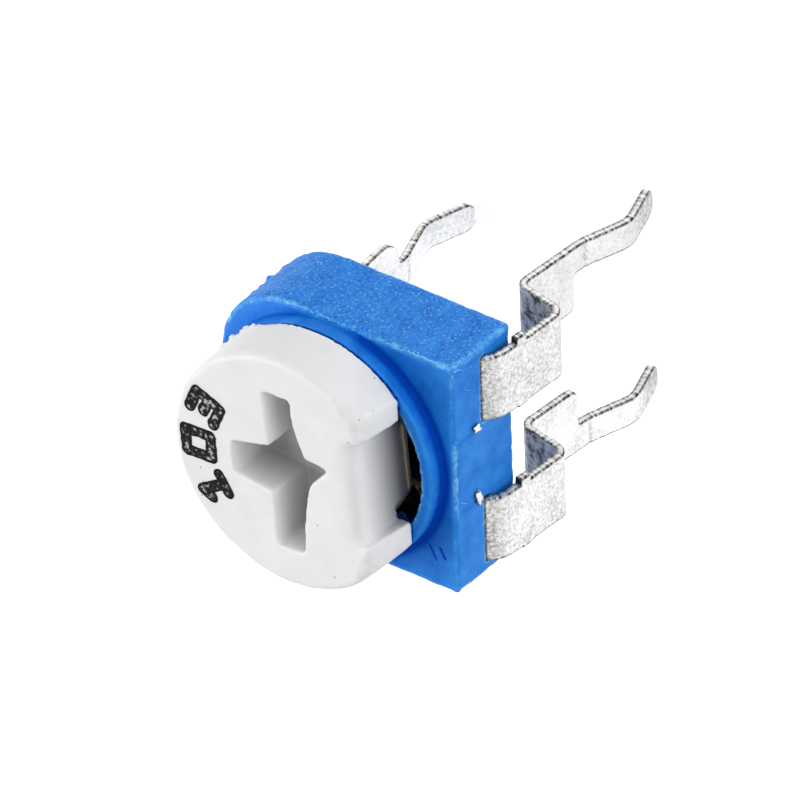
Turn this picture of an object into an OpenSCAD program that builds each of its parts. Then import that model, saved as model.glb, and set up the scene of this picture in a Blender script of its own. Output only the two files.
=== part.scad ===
// Single-turn carbon trimmer potentiometer, 6 mm class, adjusted from the top.
// +Z points along the rotor's axis towards the adjusting face. The origin lies on that axis, in the
// plane of the circuit board that the leads' shoulders stand on. The two end leads are on the -Y
// side and the wiper's lead is on the +Y side.

/* [Housing] */
// Width of the housing, along X
body_w = 6.4; // [6.3:0.05:8]
// From the rotor's axis to the side with the two end leads
body_front = 3.5; // [3.3:0.05:5]
// From the rotor's axis to the side with the wiper's lead
body_rear = 3.2; // [3.15:0.05:5]
// Thickness of the housing without its collar
body_t = 2.25; // [2:0.05:3.5]
// Height of the housing's underside over the board
standoff = 3.5; // [3:0.05:6]
// Radius of the two large corners beside the wiper's lead
big_corner_r = 2.05; // [0.6:0.05:2.2]
// Radius on the housing's edges
edge_r = 0.08; // [0.05:0.01:0.2]
// Radius of the two small corners beside the end leads
corner_r = 0.14; // [0.1:0.02:0.4]

/* [Collar] */
// Outer diameter of the collar that the rotor turns on
collar_d = 6.3; // [6.1:0.02:7]
// Height of the collar over the housing's face
collar_h = 0.45; // [0.3:0.05:0.8]
// Bore of the collar
collar_bore = 5.64; // [5.3:0.02:5.8]

/* [Rotor] */
// Diameter of the rotor's head
head_d = 6.3; // [6:0.02:7]
// Height of the rotor's top over the housing's face
head_top = 1.95; // [1.7:0.05:3]
// Width of the ring between the hub and the bore, where the stops are
stop_ring = 0.52; // [0.4:0.02:0.6]
// Distance of the head's flat from the axis
flat_at = 2.46; // [2.3:0.02:2.8]
// Lean of the flat, in degrees
flat_lean = 7; // [0:1:10]
// Width of the pocket beside the wiper
pocket_w = 2.78; // [1.5:0.02:3]
// Distance of the pocket's back wall from the axis
pocket_at = 2.07; // [1.9:0.01:2.25]
// Diameter of the stem through the floor
stem_d = 1.5; // [1.3:0.05:1.7]
// Depth of the driver recess
recess_depth = 1.3; // [0.8:0.05:1.4]
// Width of the recess's arms at their ends
arm_w = 0.76; // [0.6:0.02:0.9]
// Reach of the two long arms from the axis
long_arm = 2.1; // [1.8:0.02:2.3]
// Reach of the short arm from the axis
short_arm = 1.45; // [1.2:0.05:1.8]
// Reach of the arrow from the axis
arrow_reach = 1.29; // [1.1:0.01:1.6]
// Turn of the rotor as stored, in degrees
rest_turn = 4.5; // [-10:0.5:10]

/* [Travel] */
// Turn to each side of the middle, in degrees
half_travel = 105; // [90:5:120]
// Width of the rotor's stop lug, in degrees
lug_angle = 14; // [10:1:24]

/* [Element and wiper] */
// Thickness of the element's board
element_t = 0.3; // [0.2:0.02:0.36]
// Inner diameter of the element
element_id = 2.9; // [2.8:0.05:3]
// Opening between the element's ends, in degrees
element_gap = 50; // [30:2:60]
// Distance from the bore's wall to the carbon track
track_edge = 0.54; // [0.5:0.01:0.58]
// Width of the carbon track
track_w = 0.76; // [0.5:0.02:0.8]
// Thickness of the wiper's spring sheet
wiper_t = 0.1; // [0.06:0.01:0.12]
// Width of the wiper's fingers
finger_w = 0.4; // [0.25:0.01:0.44]

/* [Leads] */
// Distance between the two end leads, along X
pin_pitch = 5; // [4.8:0.02:5.2]
// Distance of the end leads' tips from the axis, along Y
front_row = 2.62; // [2.4:0.01:2.7]
// Distance of the wiper's lead's tip from the axis, along Y
rear_row = 2.5; // [2.4:0.01:2.6]
// Thickness of the leads' sheet
lead_t = 0.2; // [0.16:0.01:0.22]
// Width of an end lead above the board
blade_w = 1.78; // [1.5:0.02:1.9]
// Width of the wiper's lead above the board
wiper_blade_w = 2.4; // [2.1:0.05:2.6]
// Width of the leads where they go through the board
pin_w = 0.76; // [0.6:0.02:0.9]
// How far the leads reach below the board
pin_reach = 3; // [2.7:0.05:3.5]
// Gap between the leads and the housing's sides
lead_off = 0.15; // [0.1:0.01:0.4]
// Depth of the end leads' slits below the housing's face
slit_depth = 0.94; // [0.92:0.01:1]
// How far below the housing the leads fold inwards
fold_drop = 1.5; // [1:0.05:1.8]
// Outward kink of each lead below the board, in degrees
kink_angle = 13.5; // [5:0.5:18]
// Diameter of the eyelets that join the end leads to the element
eyelet_d = 0.6; // [0.5:0.02:0.7]

/* [Fits] */
// Running clearance between the rotor and what it turns in
run_gap = 0.05; // [0.03:0.01:0.07]
// Clearance round the parts set in the housing
set_gap = 0.02; // [0.01:0.01:0.03]

/* [Hidden] */
$fn = 64;

face_z = standoff + body_t;           // the housing's face
head_z = face_z + collar_h + run_gap; // underside of the rotor's head
top_z = face_z + head_top;            // the rotor's top face
bore_r = collar_bore / 2;
hub_r = bore_r - stop_ring;
stem_r = stem_d / 2;
draft = 0.02;                         // what round walls lose to the mould's draft

element_z = face_z - slit_depth - lead_t; // the element's printed face, under the end leads
floor_z = element_z - element_t;      // the floor that it lies on
element_od = collar_bore - 2 * set_gap;
film_t = 0.03;                        // thickness of the printed track
contact_gap = 0.02;                   // left under the wiper's fingers
track_r = bore_r - track_edge - track_w / 2;

wiper_z = face_z;                     // top of the wiper's sheet, against the hub
wiper_r = hub_r - 0.04;
key_flat = stem_r - 0.12;             // flats on the stem that turn the wiper
key_h = 0.3;

// Stops: a lug on the hub, and two blocks in the bore that it runs between
lug_z = face_z - 0.4;
block_z = face_z - 0.5;
block_angle = 14;
block_play = 0.5;                     // degrees left between lug and block at each end

// Stem's end, formed over into a flat head in a recess
stake_d = stem_d + 1;
stake_h = 0.17;
stake_recess = 0.22;

// Wiper's lead: a ring round the stem, in the floor under the element
ring_id = stem_d + 0.3;
ring_od = element_id - 0.1;
collector_r = (ring_id + ring_od) / 4;

// Eyelets
eye_x = lead_mid_x() - 0.29;
eye_r = bore_r - 0.62;                // their distance from the axis
eye_y = -sqrt(eye_r * eye_r - eye_x * eye_x);
eye_flange = eyelet_d / 2 + 0.11;
eye_lip = 0.08;                       // thickness of the flanges
eye_wall = 0.09;
tab_r = eye_flange + 0.12;            // round end of the lead under the eyelet

// Bends of a lead, all on the sheet's middle: headings are degrees turned downwards from straight out
drop_heading = 86.5;
under_heading = 168;
blade_heading = 85.5;
kink_heading = blade_heading - kink_angle;
tip_heading = 108;
entry_r = 0.7;
fold_r = 0.35;
tuck_r = 0.28;
kink_r = 0.4;
knee_r = 0.8;
crease = 0.35;                        // depth of the kink below the board
seam = 0.05;                          // overlap of the bent strip and the flat tab it grows from
kink_run = 1.05;

pad_h = 0.05;                         // pad beside each end lead's slit
tie_w = 0.26;                         // stub left where the tie bar was sheared off
tie_h = 0.06;
tie_drop = 2.05;
shoulder_r = 0.2;                     // round shoulders of the end leads
wiper_shoulder_r = 0.65;              // and of the wiper's lead
neck_r = 0.16;                        // fillet between a blade and its pin
tip_r = 0.24;                         // round corners of the tips

plastic_blue = [0.16, 0.45, 0.84];
plastic_white = [0.92, 0.92, 0.9];
tinned = [0.78, 0.78, 0.77];
bronze = [0.8, 0.62, 0.32];
board_brown = [0.36, 0.22, 0.12];
carbon_black = [0.05, 0.05, 0.05];

// Middle of an end lead's blade, whose outer edge lines up with its pin's
function lead_mid_x() = (pin_pitch + pin_w - blade_w) / 2;

// A rectangle about the origin with round corners
module round_rect(w, l, r) {
    square([w - 2 * r, l], center = true);
    square([w, l - 2 * r], center = true);
    for (i = [-1, 1], j = [-1, 1])
        translate([i * (w / 2 - r), j * (l / 2 - r)]) circle(r);
}

// Part of a ring about Z, its middle turned by `at` degrees from +Y
module arc(r1, r2, z1, z2, angle, at = 0) {
    rotate([0, 0, 90 + at - angle / 2])
        rotate_extrude(angle = angle)
            translate([r1, z1]) square([r2 - r1, z2 - z1]);
}

// ---- Housing ----

// The moulded block with its edges rounded, two small corners and two large ones
module block() {
    l = body_front + body_rear;
    mid_y = (body_rear - body_front) / 2;
    mid_z = standoff + body_t / 2;
    big = 3 * l;
    corner_x = body_w / 2 - big_corner_r;
    corner_y = body_rear - big_corner_r;
    difference() {
        intersection() {
            translate([0, mid_y, standoff]) linear_extrude(body_t) round_rect(body_w, l, corner_r);
            translate([0, mid_y, mid_z]) rotate([90, 0, 90])
                linear_extrude(big, center = true) round_rect(l, body_t, edge_r);
            translate([0, 0, mid_z]) rotate([90, 0, 0])
                linear_extrude(big, center = true) round_rect(body_w, body_t, edge_r);
        }
        for (side = [0, 1])
            mirror([side, 0, 0]) translate([corner_x, corner_y, standoff - 1]) cube([big, big, body_t + 2]);
    }
    for (side = [0, 1])
        mirror([side, 0, 0]) translate([corner_x, corner_y, mid_z]) rotate_extrude(angle = 90)
            intersection() {
                round_rect(2 * big_corner_r, body_t, edge_r);
                translate([0, -body_t / 2]) square([big_corner_r, body_t]);
            }
}

module collar() {
    r = collar_d / 2;
    translate([0, 0, face_z - edge_r]) cylinder(r1 = r, r2 = r - draft, h = collar_h + edge_r);
}

// Raised pads above the end leads' slits
module pads() {
    for (side = [-1, 1])
        translate([side * lead_mid_x() - blade_w / 2, -body_front - pad_h, face_z - slit_depth])
            cube([blade_w, 1, slit_depth - edge_r]);
}

module stop_blocks() {
    lug_half = lug_angle / 2;
    for (side = [-1, 1])
        arc(hub_r + 2 * run_gap, bore_r + run_gap, block_z, face_z + collar_h - 2 * run_gap,
            block_angle, side * (half_travel + lug_half + block_play + block_angle / 2) + rest_turn);
}

module housing() {
    color(plastic_blue) difference() {
        union() {
            difference() {
                union() {
                    block();
                    collar();
                    pads();
                }
                translate([0, 0, floor_z]) cylinder(r = bore_r, h = body_t + collar_h);
            }
            stop_blocks();
        }
        // stem hole, recess for the stem's formed head and pockets under the eyelets
        translate([0, 0, standoff - 1]) cylinder(r = stem_r + run_gap, h = body_t + 1);
        translate([0, 0, standoff - 1]) cylinder(d = stake_d + 4 * run_gap, h = stake_recess + 1);
        for (side = [-1, 1])
            translate([side * eye_x, eye_y, floor_z - eye_lip - set_gap])
                cylinder(r = eye_flange + set_gap, h = 1);
        end_lead(1, set_gap);
        end_lead(-1, set_gap);
        collector_lead(set_gap);
    }
}

// ---- Rotor ----

// Outline of the driver recess, its arrow towards +X. The arms widen towards the middle.
module recess_outline() {
    tip = arm_w / 2;
    waist = 1.4;                      // where the long arms start to widen
    root = 0.62;
    polygon([
        [-tip, long_arm], [tip, long_arm], [tip + 0.03, waist], [root + 0.04, root - 0.04],
        [arrow_reach - 0.04, 0.48], [arrow_reach, 0.41], [0.8, -0.06], [root + 0.08, -0.26],
        [root - 0.02, -root], [tip + 0.08, -waist], [tip, -long_arm], [-tip, -long_arm],
        [-tip + 0.04, -root], [-short_arm, -tip - 0.04], [-short_arm, tip + 0.04], [-tip + 0.06, root]
    ]);
}

// Round head with a softened upper rim
module head() {
    r = head_d / 2;
    rim = 0.12;
    translate([0, 0, head_z]) cylinder(r1 = r, r2 = r - draft, h = top_z - rim - head_z);
    translate([0, 0, top_z - rim]) cylinder(r = r - draft - rim, h = rim);
    translate([0, 0, top_z - rim]) rotate_extrude()
        intersection() {
            translate([r - draft - rim, 0]) circle(rim);
            square([r, rim]);
        }
}

module rotor() {
    color(plastic_white) rotate([0, 0, rest_turn]) {
        difference() {
            union() {
                head();
                translate([0, 0, face_z]) cylinder(r = hub_r, h = collar_h + 2 * run_gap);
            }
            // leaning flat, and the upright pocket that shows the wiper
            rotate([0, 0, -90]) {
                translate([flat_at, 0, head_z]) rotate([0, -flat_lean, 0])
                    translate([0, -head_d, -1]) cube([head_d, 2 * head_d, 2 * head_top]);
                translate([pocket_at, -pocket_w / 2, face_z - 1]) cube([head_d, pocket_w, head_top + 2]);
            }
            rotate([0, 0, -90])
                translate([0, 0, top_z - recess_depth]) linear_extrude(recess_depth + 1) recess_outline();
        }
        arc(stem_r, bore_r - run_gap, face_z, head_z + run_gap, lug_angle);
        arc(hub_r, bore_r - run_gap, lug_z, face_z + run_gap, lug_angle);
        stem();
    }
}

// Stem through the floor: flats to turn the wiper, and an end formed over into a flat head
module stem() {
    stake_z = standoff + stake_recess - run_gap - stake_h;
    key_z = face_z - key_h;
    translate([0, 0, stake_z]) cylinder(r = stem_r, h = key_z - stake_z);
    translate([0, 0, stake_z]) cylinder(d = stake_d, h = stake_h);
    translate([0, 0, key_z]) key(0, key_h + run_gap);
}

// The stem's keyed length, grown all round by a gap
module key(gap, h) {
    intersection() {
        cylinder(r = stem_r + gap, h = h);
        translate([-2 * stem_r, -key_flat - gap, -h]) cube([4 * stem_r, 2 * (key_flat + gap), 3 * h]);
    }
}

// ---- Wiper ----

// One finger: it leaves the plate along +Y, slopes down and ends in a round toe. The origin is at
// the root, on the sheet's middle.
module finger(drop) {
    bend = 55;
    r = 0.15;
    toe_r = 0.12;
    slope = drop - r * (1 - cos(bend)) - toe_r * (1 - cos(bend));
    strip([[0.1, r, bend], [slope / sin(bend), toe_r, -bend - 30], [0.08, 0, 0]], finger_w, wiper_t);
}

module wiper() {
    mid_z = wiper_z - wiper_t / 2;
    finger_drop = mid_z - element_z - film_t - contact_gap - wiper_t / 2;
    tongue_drop = mid_z - floor_z - contact_gap - wiper_t / 2;
    root = 0.9;
    tongue_root = 1.1;
    color(bronze) rotate([0, 0, rest_turn]) difference() {
        union() {
            difference() {
                translate([0, 0, wiper_z - wiper_t]) cylinder(r = wiper_r, h = wiper_t);
                // straight edge in the pocket, and the openings that the fingers were cut from
                translate([-wiper_r, -2 * wiper_r - pocket_at - 0.03, wiper_z - 1])
                    cube([2 * wiper_r, 2 * wiper_r, 2]);
                translate([root - 3, track_r - finger_w / 2 - 0.08, wiper_z - 1]) cube([3, 3, 2]);
                translate([-tongue_root, -collector_r - finger_w / 2 - 0.08, wiper_z - 1])
                    cube([1.5, finger_w + 0.16, 2]);
            }
            translate([root + seam, track_r, mid_z]) rotate([0, 0, 90]) finger(finger_drop);
            translate([-tongue_root - seam, -collector_r, mid_z]) rotate([0, 0, -90]) finger(tongue_drop);
        }
        translate([0, 0, wiper_z - 1]) key(set_gap, 2);
    }
}

// ---- Element ----

module element() {
    color(board_brown) difference() {
        arc(element_id / 2, element_od / 2, floor_z, element_z, 360 - element_gap);
        for (side = [-1, 1])
            translate([side * eye_x, eye_y, floor_z - 1]) cylinder(d = eyelet_d + 2 * set_gap, h = 2);
    }
}

module track() {
    end_angle = 2 * (half_travel + 6);
    color(carbon_black)
        arc(track_r - track_w / 2, track_r + track_w / 2, element_z, element_z + film_t, end_angle);
}

// Tubular rivet through an end lead and the element
module eyelet(side) {
    top = face_z - slit_depth;
    translate([side * eye_x, eye_y, 0]) difference() {
        union() {
            translate([0, 0, floor_z - eye_lip]) cylinder(d = eyelet_d, h = top - floor_z + 2 * eye_lip);
            translate([0, 0, top]) cylinder(r = eye_flange, h = eye_lip);
            translate([0, 0, floor_z - eye_lip]) cylinder(r = eye_flange, h = eye_lip);
        }
        translate([0, 0, floor_z - 1]) cylinder(r = eyelet_d / 2 - eye_wall, h = 4);
    }
}

// ---- Leads ----

// What one bend adds to a position, as [outwards, downwards]
function bend_move(r, h, turn) =
    r * sign(turn) * [sin(h + turn) - sin(h), cos(h) - cos(h + turn)];
function dir(h) = [cos(h), sin(h)];

// Strip made of straight lengths and bends, each step [length, bend radius, bend angle]. It starts
// at the origin, runs along +Y on its middle plane and turns downwards where the angle is positive.
module strip(steps, w, t, i = 0) {
    len_i = steps[i][0];
    r = steps[i][1];
    turn = steps[i][2];
    side = sign(turn);
    if (len_i > 0) translate([-w / 2, 0, -t / 2]) cube([w, len_i, t]);
    if (turn != 0)
        translate([0, len_i, -side * r]) rotate([0, -90 * side, 0])
            rotate_extrude(angle = abs(turn)) translate([r - t / 2, -w / 2]) square([t, w]);
    if (i < len(steps) - 1)
        translate([0, len_i, -side * r]) rotate([-turn, 0, 0]) translate([0, 0, side * r])
            strip(steps, w, t, i + 1);
}

// A lead's bent strip, from where it starts to bend to its tip. `reach` is the distance from the
// axis to the housing's side, `row` the one to its tip, and `start_z` the height of its middle
// inside the housing.
module bent_lead(reach, row, start_z, w, t) {
    out = reach + lead_off + lead_t / 2;
    entry = bend_move(entry_r, 0, drop_heading);
    fold = bend_move(fold_r, drop_heading, under_heading - drop_heading);
    tuck = bend_move(tuck_r, under_heading, blade_heading - under_heading);
    kink = bend_move(kink_r, blade_heading, kink_heading - blade_heading);
    knee = bend_move(knee_r, kink_heading, tip_heading - kink_heading);
    drop_len = (start_z - entry[1] - standoff + fold_drop - fold[1]) / sin(drop_heading);
    tip_len = (pin_reach - crease - kink[1] - kink_run * sin(kink_heading) - knee[1]) / sin(tip_heading);
    // below the fold, the strip's middle ends over the lead's hole
    below = kink + kink_run * dir(kink_heading) + knee + tip_len * dir(tip_heading);
    fold_end = [out, 0] + drop_len * dir(drop_heading) + fold;
    blade_fall = standoff - fold_drop - tuck[1] + crease;
    // the run under the housing falls as well, so its length and the blade's are found together
    need = row - below[0] - fold_end[0] - tuck[0];
    run_dir = dir(under_heading);
    lean = cos(blade_heading) / sin(blade_heading);
    run_len = (need - blade_fall * lean) / (run_dir[0] - run_dir[1] * lean);
    blade_len = (blade_fall - run_len * run_dir[1]) / sin(blade_heading);
    translate([0, out - entry[0] - seam, start_z])
        strip([[seam, entry_r, drop_heading], [drop_len, fold_r, under_heading - drop_heading],
            [run_len, tuck_r, blade_heading - under_heading],
            [blade_len, kink_r, kink_heading - blade_heading],
            [kink_run, knee_r, tip_heading - kink_heading], [tip_len, 0, 0]], w, t);
}

// Front view of a lead: blade with shoulders of radius r, pin, and the tie bar's stubs. The pin's
// middle is at pin_x, and `necks` are the sides where the blade steps in to it.
module lead_outline(w, r, pin_x, necks, gap) {
    top = face_z + 1;
    tie_z = face_z - tie_drop - tie_w;
    root = 1;                         // length of the pin that lies within the blade
    pin_l = root + pin_reach + lead_t / 4;
    difference() {
        translate([-w / 2 - gap, -gap]) square([w + 2 * gap, top]);
        for (side = [-1, 1])
            translate([side * (w / 2 + gap), -gap]) corner_bit(side, r);
    }
    translate([-w / 2 - tie_h - gap, tie_z - gap]) square([w + 2 * tie_h + 2 * gap, tie_w + 2 * gap]);
    translate([pin_x, root - pin_l / 2]) round_rect(pin_w, pin_l, tip_r);
    for (side = necks)
        translate([pin_x + side * pin_w / 2, 0]) neck(side);
}

// Fills the corner between a pin and the blade above it, up to a concave round
module neck(side) {
    difference() {
        square(2 * neck_r, center = true);
        translate([side * neck_r, -neck_r]) circle(neck_r);
    }
}

// The square corner outside a rounded corner at the origin
module corner_bit(side, r) {
    translate([-side * r, r]) difference() {
        translate([side > 0 ? 0 : -2 * r, -2 * r]) square(2 * r);
        circle(r);
    }
}

// End lead on the +X side, or the -X side. `gap` grows it all round, to cut its slit.
module end_lead(side, gap = 0) {
    mid_z = face_z - slit_depth - lead_t / 2;
    t = lead_t + 2 * gap;
    start = body_front + lead_off + lead_t / 2 - bend_move(entry_r, 0, drop_heading)[0];
    mid = lead_mid_x();
    w = blade_w;
    scale([side, 1, 1]) mirror([0, 1, 0]) {
        translate([mid, 0, 0]) intersection() {
            bent_lead(body_front, front_row, mid_z, w + 2 * tie_h + 2 * gap, t);
            rotate([90, 0, 0]) linear_extrude(20, center = true)
                lead_outline(w, shoulder_r, (w - pin_w) / 2, [-1], gap);
        }
        difference() {
            translate([0, 0, mid_z - t / 2]) linear_extrude(t) {
                translate([mid - w / 2 - gap, -eye_y + 0.5]) square([w + 2 * gap, start + eye_y - 0.5]);
                polygon([[mid - w / 2 - gap, -eye_y + 0.5], [eye_x - tab_r - gap, -eye_y],
                    [eye_x + tab_r + gap, -eye_y], [mid + w / 2 + gap, -eye_y + 0.5]]);
                translate([eye_x, -eye_y]) circle(tab_r + gap);
            }
            if (gap == 0)
                translate([eye_x, -eye_y, mid_z - 1]) cylinder(d = eyelet_d + 2 * set_gap, h = 2);
        }
    }
}

// Wiper's lead: the ring round the stem and its bent strip
module collector_lead(gap = 0) {
    t = lead_t + 2 * gap;
    mid_z = floor_z - lead_t / 2;
    start = body_rear + lead_off + lead_t / 2 - bend_move(entry_r, 0, drop_heading)[0];
    w = wiper_blade_w;
    intersection() {
        bent_lead(body_rear, rear_row, mid_z, w + 2 * tie_h + 2 * gap, t);
        rotate([90, 0, 0]) linear_extrude(20, center = true)
            lead_outline(w, wiper_shoulder_r, 0, [-1, 1], gap);
    }
    translate([0, 0, mid_z - t / 2]) linear_extrude(t) difference() {
        union() {
            circle(d = ring_od + 2 * gap);
            translate([-w / 2 - gap, 0]) square([w + 2 * gap, start]);
        }
        circle(d = ring_id - 2 * gap);
    }
}

module end_lead_1() {
    color(tinned) end_lead(1);
}

module end_lead_3() {
    color(tinned) end_lead(-1);
}

module eyelet_1() {
    color(bronze) eyelet(1);
}

module eyelet_3() {
    color(bronze) eyelet(-1);
}

module wiper_lead() {
    color(tinned) collector_lead();
}

housing();
rotor();
wiper();
element();
track();
end_lead_1();
end_lead_3();
eyelet_1();
eyelet_3();
wiper_lead();
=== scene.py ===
import math

import bmesh
import bpy
import numpy as np
from mathutils import Matrix, Vector, noise


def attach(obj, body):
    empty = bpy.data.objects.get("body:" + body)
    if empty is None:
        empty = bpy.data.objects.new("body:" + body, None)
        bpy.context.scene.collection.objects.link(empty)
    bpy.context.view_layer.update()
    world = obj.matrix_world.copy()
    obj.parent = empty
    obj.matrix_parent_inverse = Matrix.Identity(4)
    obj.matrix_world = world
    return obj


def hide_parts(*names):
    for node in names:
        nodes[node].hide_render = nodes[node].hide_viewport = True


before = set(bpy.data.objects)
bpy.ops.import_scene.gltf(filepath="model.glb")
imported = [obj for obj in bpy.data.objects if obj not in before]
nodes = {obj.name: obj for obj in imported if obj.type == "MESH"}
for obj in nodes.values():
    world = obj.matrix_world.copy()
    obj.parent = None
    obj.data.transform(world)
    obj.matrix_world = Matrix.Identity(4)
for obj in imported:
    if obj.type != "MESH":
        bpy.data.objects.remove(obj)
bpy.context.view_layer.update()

# All lengths are in millimetres until a mesh is handed to Blender, which works in metres here.
MM = 0.001

# Sizes of the CAD part: heights over the board, and distances from the rotor's axis
FACE_Z = 5.75        # the housing's face
HEAD_Z = 6.25        # underside of the rotor's head
TOP_Z = 7.70         # the rotor's top
STANDOFF = 3.50      # underside of the housing
BODY_FRONT = 3.50    # the housing's side at -Y, with the end leads
BODY_REAR = 3.20     # its side at +Y, with the wiper's lead
BODY_HALF = 3.20     # its two sides across X
BIG_CORNER_R = 2.05  # its two large corners, beside the wiper's lead
COLLAR_R = 3.15
LEAD_T = 0.20        # the leads' sheet
SLIT_DEPTH = 0.94    # the face down to an end lead
BOARD_T = 0.30       # the element's board, between the end leads and the wiper's lead
PIN_REACH = 3.0      # the leads' tips below the board
REST_TURN = 4.5      # degrees that the rotor stands off the axes

# Light: what the sky gives, and the glow that keeps the paper white to the eye
SKY = 0.34
FLOOR_GLOW = 0.55


# ---------------------------------------------------------------- small helpers

def linear(code):
    """sRGB hex code to the linear colour that a shader wants."""
    parts = [int(code[i:i + 2], 16) / 255 for i in (1, 3, 5)]
    return [c / 12.92 if c <= 0.04045 else ((c + 0.055) / 1.055) ** 2.4 for c in parts] + [1.0]


def add(tree, kind, inputs=None, stops=(), **settings):
    """Adds a node, sets its properties, and fills or links its inputs. An input given as a node
    takes that node's first output; stops are a colour ramp's (position, hex colour or grey)."""
    made = tree.nodes.new("ShaderNode" + kind)
    for key, value in settings.items():
        setattr(made, key, value)
    for key, value in (inputs or {}).items():
        if isinstance(value, bpy.types.Node):
            value = value.outputs[0]
        if isinstance(value, bpy.types.NodeSocket):
            tree.links.new(value, made.inputs[key])
        else:
            made.inputs[key].default_value = value
    for i, (at, colour) in enumerate(stops):
        element = made.color_ramp.elements[i] if i < 2 else made.color_ramp.elements.new(at)
        element.position = at
        element.color = linear(colour) if isinstance(colour, str) else (colour, colour, colour, 1)
    return made


def start_material(name):
    """A new material, its empty tree, and coordinates in millimetres that stay with the piece."""
    material = bpy.data.materials.new(name)
    material.use_nodes = True
    tree = material.node_tree
    tree.nodes.clear()
    coord = add(tree, "TexCoord")
    mm = add(tree, "VectorMath", {0: coord.outputs["Object"], "Scale": 1000.0}, operation="SCALE")
    return material, tree, mm


# ---------------------------------------------------------------- materials

def spark_eroded_pbt():
    """Blue PBT, satin. The mould's sides across X are spark eroded and leave a grain of 0.1 mm with
    fine pits and pale spots painted in as its sparkles, a painted glint; its other faces and the
    collar are smooth. Worn edges are pale, and corners are painted deeper as painted shade."""
    material, tree, mm = start_material("spark_eroded_pbt_blue")
    coord = add(tree, "TexCoord")
    facing = add(tree, "SeparateXYZ", {0: coord.outputs["Normal"]})
    across = add(tree, "Math", {0: facing.outputs["X"]}, operation="ABSOLUTE")
    # the collar above the face is smooth all round
    height = add(tree, "SeparateXYZ", {0: mm})
    below = add(tree, "Math", {0: height.outputs["Z"], 1: FACE_Z + 0.02}, operation="LESS_THAN")
    eroded = add(tree, "ValToRGB", {"Fac": across}, [(0.55, 0.1), (0.85, 1.0)])
    eroded = add(tree, "Math", {0: eroded, 1: below}, operation="MULTIPLY")
    grain = add(tree, "TexNoise", {"Vector": mm, "Scale": 10.0, "Detail": 5.0, "Roughness": 0.72})
    cloud = add(tree, "TexNoise", {"Vector": mm, "Scale": 2.2, "Detail": 3.0})
    fine = add(tree, "TexNoise", {"Vector": mm, "Scale": 15.0, "Detail": 1.0})
    relief = add(tree, "MixRGB", {"Fac": eroded, 1: (0.5, 0.5, 0.5, 1), 2: grain})
    tone = add(tree, "MixRGB", {"Fac": 0.3, 1: relief, 2: cloud})
    body = add(tree, "ValToRGB", {"Fac": tone}, [(0.36, "#005EC2"), (0.5, "#0A80E4"), (0.64, "#2A97F2")])
    # the pale spots on the eroded sides are a painted glint, standing in for the grain's sparkle
    pale = add(tree, "ValToRGB", {"Fac": fine}, [(0.62, 0.0), (0.70, 1.0)])
    pale = add(tree, "Math", {0: pale, 1: eroded}, operation="MULTIPLY")
    colour = add(tree, "MixRGB", {"Fac": pale, 1: body, 2: linear("#70BEF9")})
    pit = add(tree, "ValToRGB", {"Fac": fine}, [(0.28, 0.6), (0.33, 0.0)])
    pit = add(tree, "Math", {0: pit, 1: eroded}, operation="MULTIPLY")
    colour = add(tree, "MixRGB", {"Fac": pit, 1: colour, 2: linear("#003A86")})
    # convex edges (above FLAT_WEAR) scuff pale in patches, and corners (below it) are painted deep blue as
    # painted shade
    wear = add(tree, "Attribute", attribute_name="wear")
    patch = add(tree, "TexNoise", {"Vector": mm, "Scale": 5.0, "Detail": 4.0, "Roughness": 0.7})
    scuff = add(tree, "ValToRGB", {"Fac": wear.outputs["Fac"]}, [(0.59, 0.0), (0.82, 1.0)])
    spots = add(tree, "ValToRGB", {"Fac": patch}, [(0.46, 0.15), (0.6, 0.9)])
    # a fin of flash (wear above MOST_WEAR) is pale all along
    fin = add(tree, "Math", {0: wear.outputs["Fac"], 1: 0.99}, operation="GREATER_THAN")
    spots = add(tree, "Math", {0: spots, 1: fin}, operation="MAXIMUM")
    scuff = add(tree, "Math", {0: scuff, 1: spots}, operation="MULTIPLY")
    colour = add(tree, "MixRGB", {"Fac": scuff, 1: colour, 2: linear("#78C8FE")})
    # below FLAT_WEAR the deep blue is painted shade: in corners and creases, on the face and collar that
    # the rotor shades, and in a line under the rotor's rim; the scratches take the same deep blue
    deep = add(tree, "ValToRGB", {"Fac": wear.outputs["Fac"]}, [(0.1, 0.9), (0.47, 0.0)])
    colour = add(tree, "MixRGB", {"Fac": deep, 1: colour, 2: linear("#003CB4")})
    matt = add(tree, "ValToRGB", {"Fac": wear.outputs["Fac"]}, [(0.25, 0.05), (0.5, 0.5)])
    rough = add(tree, "ValToRGB", {"Fac": tone}, [(0.36, 0.7), (0.64, 0.5)])
    bump = add(tree, "Bump", {"Height": relief, "Strength": 0.7, "Distance": 0.02 * MM})
    shader = add(tree, "BsdfPrincipled", {"Base Color": colour, "Roughness": rough, "Normal": bump,
        "IOR": 1.40, "Specular IOR Level": matt})
    add(tree, "OutputMaterial", {"Surface": shader})
    return material


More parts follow.
